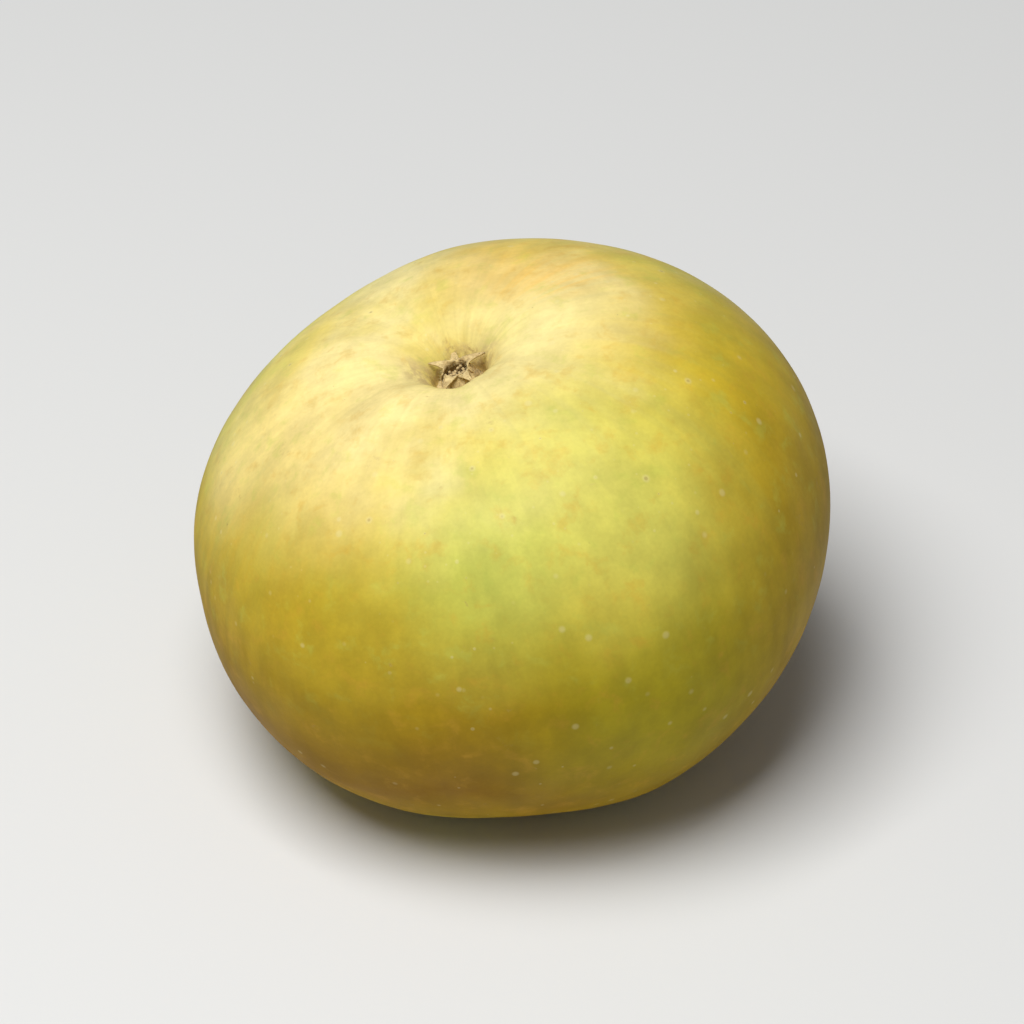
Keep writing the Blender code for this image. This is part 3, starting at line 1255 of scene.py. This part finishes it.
@dataclass
class Calyx:
    """The dried flower in the eye: a cup with sepals, stamens, styles and down.

    A size whose name ends in _mm is in millimetres. sepal_line holds the control points of a
    sepal's middle line: radii in shares of the cup's, and heights in shares of its length.
    """

    form: FruitForm
    sepals: int = 5
    sepal_length: float = 4.8 * MM
    sepal_width: float = 2.9 * MM
    sepal_thickness: float = 0.17 * MM
    sepal_line: tuple[Span, ...] = ((0.84, -0.05), (1.20, 0.26), (-0.24, 0.54), (1.46, 0.42))
    sepal_rows: int = 26
    sepal_columns: int = 13
    tip_share: float = 0.06
    ragged: float = 0.16
    fold: float = 0.55
    crinkle: float = 0.16 * MM
    cup_radius: float = 2.5 * MM
    cup_outline_mm: tuple[Span, ...] = (
        (2.98, -0.62), (2.90, -0.34), (2.76, -0.12), (2.56, 0.00), (2.36, 0.02), (2.16, -0.08),
        (1.95, -0.28), (1.68, -0.50), (1.32, -0.68), (0.90, -0.78), (0.45, -0.82), (0.02, -0.83),
    )
    cup_sides: int = 96
    cup_folds: int = 19
    cup_fold: float = 0.09 * MM
    cup_wrinkle: float = 0.10 * MM
    cup_wrinkle_size: float = 0.7 * MM
    wrinkled_radii: Span = (0.3 * MM, 1.8 * MM)
    stamens: int = 24
    stamen_radius: float = 0.07 * MM
    stamen_head: float = 1.9
    stamen_feet_mm: Span = (1.3, 1.8)
    stamen_heights_mm: Span = (1.0, 1.9)
    stamen_leans: Span = (0.15, 0.65)
    styles: int = 5
    style_radius: float = 0.12 * MM
    style_turn: float = 0.3
    thread_rings: int = 9
    thread_sides: int = 7
    hairs: int = 520
    hair_radius: float = 0.022 * MM
    hair_lengths_mm: Span = (0.35, 0.85)
    hair_rings: int = 4
    hair_sides: int = 3
    turned_back: float = 0.35
    droop: float = 0.35
    seed: int = 5
    sepal_finish: DryFinish = DryFinish("dry_sepal", (0.40, 0.27, 0.10), (0.74, 0.57, 0.26), 0.35 * MM, 0.05)
    cup_finish: DryFinish = DryFinish("dry_cup", (0.42, 0.30, 0.12), (0.74, 0.57, 0.26), 0.4 * MM, 0.06)
    stamen_finish: DryFinish = DryFinish(
        "dry_stamen", (0.34, 0.23, 0.09), (0.64, 0.48, 0.22), 0.2 * MM, 0.03
    )
    down_finish: DryFinish = DryFinish(
        "flower_down", (0.48, 0.37, 0.15), (0.70, 0.57, 0.28), 0.5 * MM, 0.0
    )

    def __post_init__(self) -> None:
        """Set up the draws and the place of the flower."""
        self.random = np.random.default_rng(self.seed)
        self.place = self.form.core(self.form.height - self.form.basin_depth)

    def heading(self, number: int) -> float:
        """Which way a sepal points."""
        return (number + 0.25 * math.sin(2.3 * number)) * math.tau / self.sepals + self.form.lobe_turn

    def sepal_points(self, number: int, shares: np.ndarray, across: np.ndarray) -> np.ndarray:
        """Points on a sepal's middle sheet.

        Args:
            number: which sepal.
            shares: 0 at its foot, 1 at its tip.
            across: -1 at one edge, 1 at the other.

        Returns:
            The points, with the flower's cup at the origin.
        """
        longer = 1 + 0.10 * math.sin(4.1 * number + 1.0)
        knots = np.array(self.sepal_line)
        knots[3] += (0.10 * math.sin(2.7 * number), 0.05 * math.cos(3.3 * number))
        line = bezier(knots * (self.cup_radius, self.sepal_length * longer), shares)
        taper = self.tip_share + (1 - self.tip_share) * np.cos(0.5 * math.pi * shares) ** 0.8
        half = 0.5 * self.sepal_width * taper
        edges = np.stack([shares * 9, np.sign(across) * 3, 0 * shares + number], axis=1)
        sideways = across * half * (1 + self.ragged * ripple(edges, 1.0))
        folded = self.fold * np.abs(sideways) ** 1.4 / half.max() ** 0.4
        creases = np.stack([shares * 7, across * 2.2, 0 * shares + 3.7 * number], axis=1)
        radius = line[:, 0] - folded + self.crinkle * ripple(creases, 1.0)
        twist = self.heading(number) + 0.16 * np.sin(2.1 * number + 3 * shares)
        x = radius * np.cos(twist) - sideways * np.sin(twist)
        y = radius * np.sin(twist) + sideways * np.cos(twist)
        return np.stack([x, y, line[:, 1] + 0.35 * folded], axis=1)

    def build_sepals(self) -> Piece:
        """Build the creased and curling sepals, as thin solid sheets.

        Returns:
            The sepals.
        """
        along = np.linspace(0, 1, self.sepal_rows)
        beside = np.linspace(-1, 1, self.sepal_columns)
        shares, across = np.meshgrid(along, beside, indexing="ij")
        faces = grid_faces(self.sepal_rows, self.sepal_columns)
        shell = Shell()
        for number in range(self.sepals):
            shell.add(self.sepal_points(number, shares.ravel(), across.ravel()), faces)
        sepals = shell.piece("sepals", self.place)
        thicken = sepals.modifiers.new("thicken", "SOLIDIFY")
        thicken.thickness = self.sepal_thickness
        thicken.offset = 0.0
        return dress(sepals, self.sepal_finish.make(), Part.CALYX)

    def build_cup(self) -> Piece:
        """Build the flower's cup: a wrinkled rim that joins the skin, and a hollow inside it.

        Returns:
            The cup.
        """
        points = turned_rings(np.array(self.cup_outline_mm) * MM, self.cup_sides)
        radius = np.hypot(points[:, 0], points[:, 1])
        turn = np.arctan2(points[:, 1], points[:, 0])
        folds = self.cup_fold * np.cos(self.cup_folds * turn + 3 * np.sin(2 * turn))
        folds += self.cup_wrinkle * ripple(points, self.cup_wrinkle_size)
        points[:, 2] += folds * smoothstep(*self.wrinkled_radii, radius)
        shell = Shell()
        shell.add(points, grid_faces(len(self.cup_outline_mm), self.cup_sides, 0, True))
        return dress(shell.piece("flower_cup", self.place), self.cup_finish.make(), Part.CALYX)

    def stamen(self, number: int, shares: np.ndarray) -> np.ndarray:
        """The middle line of a shrivelled stamen, which leans in over the cup.

        Args:
            number: which stamen.
            shares: 0 at its foot, 1 at its tip.

        Returns:
            One point a row.
        """
        turn = math.tau * (number + 0.6 * self.random.random()) / self.stamens
        foot = self.random.uniform(*self.stamen_feet_mm) * MM
        tall = self.random.uniform(*self.stamen_heights_mm) * MM
        lean = self.random.uniform(*self.stamen_leans)
        knots = [(foot, -0.35 * MM), (foot, 0.4 * tall), (0.7 * foot, 0.8 * tall), (lean * foot, tall)]
        line = bezier(np.array(knots), shares)
        bend = turn + 0.5 * self.random.uniform(-1, 1) * shares ** 2
        return np.stack([line[:, 0] * np.cos(bend), line[:, 0] * np.sin(bend), line[:, 1]], axis=1)

    def style(self, number: int, shares: np.ndarray) -> np.ndarray:
        """The middle line of a style, in the middle of the cup.

        Args:
            number: which style.
            shares: 0 at its foot, 1 at its tip.

        Returns:
            One point a row.
        """
        turn = math.tau * number / self.styles + self.style_turn + shares
        spread = (0.16 + 0.34 * shares ** 1.5) * MM
        tall = (-0.9 + (2.0 + 0.25 * math.sin(3.0 * number)) * shares) * MM
        return np.stack([spread * np.cos(turn), spread * np.sin(turn), tall], axis=1)

    def build_stamens(self) -> Piece:
        """Build the stamens round the cup's rim, each with its dry head, and the styles.

        Returns:
            All of them as one piece.
        """
        shares = np.linspace(0.0, 1.0, self.thread_rings)
        head = smoothstep(0.70, 0.84, shares) * smoothstep(1.05, 0.95, shares)
        stamen_radii = self.stamen_radius * (1.0 + self.stamen_head * head)
        style_radii = self.style_radius * (1.0 - 0.25 * shares)
        shell = Shell()
        for number in range(self.stamens):
            shell.add_tube(self.stamen(number, shares), stamen_radii, self.thread_sides)
        for number in range(self.styles):
            shell.add_tube(self.style(number, shares), style_radii, self.thread_sides)
        return dress(shell.piece("stamens", self.place), self.stamen_finish.make(), Part.CALYX)

    def hair(self, shares: np.ndarray) -> np.ndarray:
        """The middle line of a hair, which grows from a random point of a sepal.

        Args:
            shares: 0 at its foot, 1 at its tip.

        Returns:
            One point a row.
        """
        number = int(self.random.integers(self.sepals))
        along = self.random.uniform(0.02, 0.97)
        beside = self.random.uniform(-0.95, 0.95)
        foot = self.sepal_points(number, np.array([along]), np.array([beside]))[0]
        turn = math.atan2(foot[1], foot[0]) + self.random.normal(0.0, 0.5)
        out = np.array([math.cos(turn), math.sin(turn), self.random.uniform(-0.1, 1.0)])
        out /= np.linalg.norm(out)
        if self.random.random() < self.turned_back:
            out[:2] *= -0.6
        length = self.random.uniform(*self.hair_lengths_mm) * MM
        hang = np.array([0.0, 0.0, -self.droop * length])
        return foot + np.outer(shares, out * length) + np.outer(shares ** 2, hang)

    def build_down(self) -> Piece:
        """Build the short pale hairs on the sepals and round the cup's rim.

        Returns:
            All of them as one piece.
        """
        shares = np.linspace(0.0, 1.0, self.hair_rings)
        shell = Shell()
        for _ in range(self.hairs):
            shell.add_tube(self.hair(shares), self.hair_radius * (1.1 - 0.8 * shares), self.hair_sides)
        return dress(shell.piece("down", self.place), self.down_finish.make(), Part.CALYX)

    def build(self) -> list[Piece]:
        """Build the whole dried flower."""
        return [self.build_sepals(), self.build_cup(), self.build_stamens(), self.build_down()]


@dataclass
class Stalk:
    """The short woody stalk, ridged lengthwise, with a knob where it broke off the spur.

    root, waist and knob are shares of its radius: how thick it starts, how much thinner its
    waist is and how much thicker its end is.
    """

    form: FruitForm
    radius: float = 1.1 * MM
    length: float = 8.2 * MM
    bend: float = 1.6 * MM
    root: float = 1.15
    waist: float = 0.30
    knob: float = 0.60
    knob_shares: Span = (0.62, 0.95)
    end_share: float = 0.03
    gap: float = 0.3 * MM
    sides: int = 48
    rows: int = 90
    ridges: int = 9
    ridge: float = 0.045 * MM
    twist_length: float = 4 * MM
    bumps: tuple[Span, ...] = ((0.07 * MM, 0.8 * MM), (0.05 * MM, 2.2 * MM))
    finish: DryFinish = DryFinish(
        "stalk_wood", (0.075, 0.040, 0.016), (0.27, 0.19, 0.085), 0.5 * MM, 0.06, 0.75
    )

    def build(self) -> Piece:
        """Build the stalk where it hangs from the roof of its cavity.

        Returns:
            The stalk.
        """
        shares = np.linspace(0.0, 1.0, self.rows)
        bent = self.bend * shares ** 2
        path = np.stack([bent, -0.4 * bent, -self.length * shares], axis=1)
        waist = self.waist * np.sin(math.pi * np.minimum(1.0, 1.3 * shares))
        girth = self.root - waist + self.knob * smoothstep(*self.knob_shares, shares)
        into_end = ((shares - (1 - self.end_share)) / self.end_share).clip(0.0)
        girth *= np.sqrt(np.clip(1 - into_end ** 2, 0.30, 1.0))
        shell = Shell()
        shell.add_tube(path, self.radius * girth, self.sides)
        shell.points = [self.ridged(shell.points[0], path)]
        roof = self.form.core(self.form.cavity_depth).to_translation()
        place = Matrix.Translation(roof - Vector((0.0, 0.0, self.gap)))
        return dress(shell.piece("woody_stalk", place), self.finish.make(), Part.STALK)

    def ridged(self, points: np.ndarray, path: np.ndarray) -> np.ndarray:
        """The stalk's points with lengthwise ridges and small bumps.

        Args:
            points: the points of the plain tube, ring by ring.
            path: the middle of each ring.

        Returns:
            The moved points.
        """
        out = points - np.repeat(path, self.sides, axis=0)
        out = out / np.linalg.norm(out, axis=1, keepdims=True)
        turn = np.tile(np.linspace(0.0, math.tau, self.sides, endpoint=False), self.rows)
        slow = np.repeat(path[:, 2], self.sides) / self.twist_length
        high = np.cos(self.ridges * turn + 1.5 * np.sin(slow)) * self.ridge
        for height, size in self.bumps:
            high += height * ripple(points, size)
        return points + out * (0.6 * high + 0.4 * np.minimum(0.0, high))[:, None]


@dataclass
class Studio:
    """A plain pale floor, soft light from the upper left, and the camera."""

    fruit_middle: Vector
    elevation: float = math.radians(39)
    distance: float = 0.60
    fruit_share: float = 0.62
    clip_start: float = 0.01
    floor_radius: float = 4.0
    floor_hub: float = 0.4
    floor_sides: int = 96
    key_watts: float = 6.7
    key_size: float = 0.45
    key_way: Vector = Vector((-0.22, -0.24, 0.95))
    key_distance: float = 0.75
    sky: Colour = (0.96, 0.98, 1.0)
    sky_strength: float = 0.15

    def build_floor(self) -> None:
        """Build the floor, as a wide round sheet."""
        outline = np.array([(self.floor_hub, 0.0), (self.floor_radius, 0.0)])
        faces = grid_faces(len(outline), self.floor_sides, 0, True)
        faces.append(tuple(range(self.floor_sides)))
        shell = Shell()
        shell.add(turned_rings(outline, self.floor_sides), faces)
        floor = shell.piece("floor")
        floor.data.materials.append(FloorFinish().make())

    def build_light(self) -> None:
        """Build the light: a square soft one that faces the fruit."""
        data = bpy.data.lights.new("key", "AREA")
        data.energy = self.key_watts
        data.size = self.key_size
        light = bpy.data.objects.new("key", data)
        light.location = self.fruit_middle + self.key_way.normalized() * self.key_distance
        light.rotation_euler = (-self.key_way).to_track_quat("-Z", "Y").to_euler()
        bpy.context.scene.collection.objects.link(light)

    def build_sky(self) -> None:
        """Build the even pale light from all round."""
        world = bpy.data.worlds.new("studio")
        world.use_nodes = True
        background = world.node_tree.nodes["Background"]
        background.inputs["Color"].default_value = (*self.sky, 1.0)
        background.inputs["Strength"].default_value = self.sky_strength
        bpy.context.scene.world = world

    def build_camera(self) -> None:
        """Build the camera in front of the fruit, looking down on it."""
        data = bpy.data.cameras.new("camera")
        seen_width = FruitForm.width / self.fruit_share
        data.lens = data.sensor_width * self.distance / seen_width
        data.clip_start = self.clip_start
        camera = bpy.data.objects.new("camera", data)
        back = Vector((0.0, -math.cos(self.elevation), math.sin(self.elevation)))
        camera.location = self.fruit_middle + back * self.distance
        camera.rotation_euler = (-back).to_track_quat("-Z", "Y").to_euler()
        bpy.context.scene.collection.objects.link(camera)
        bpy.context.scene.camera = camera

    def build(self) -> None:
        """Build the floor, the lights and the camera, and set how colours are shown."""
        self.build_floor()
        self.build_light()
        self.build_sky()
        self.build_camera()
        bpy.context.scene.view_settings.view_transform = "Standard"


def main() -> None:
    """Build the apple, report each piece and build the studio round it."""
    logging.basicConfig(level=logging.INFO, format="%(name)s %(message)s")
    LOG.info("a frame of %d solids", len(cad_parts))
    form = FruitForm()
    low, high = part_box(Part.FRUIT.value)
    for piece in (Fruit(form).build(), *Calyx(form).build(), Stalk(form).build()):
        LOG.info("%s: %d faces", piece.name, len(piece.data.polygons))
    Studio((Vector(low) + Vector(high)) / 2).build()


if __name__ == "__main__":
    main()
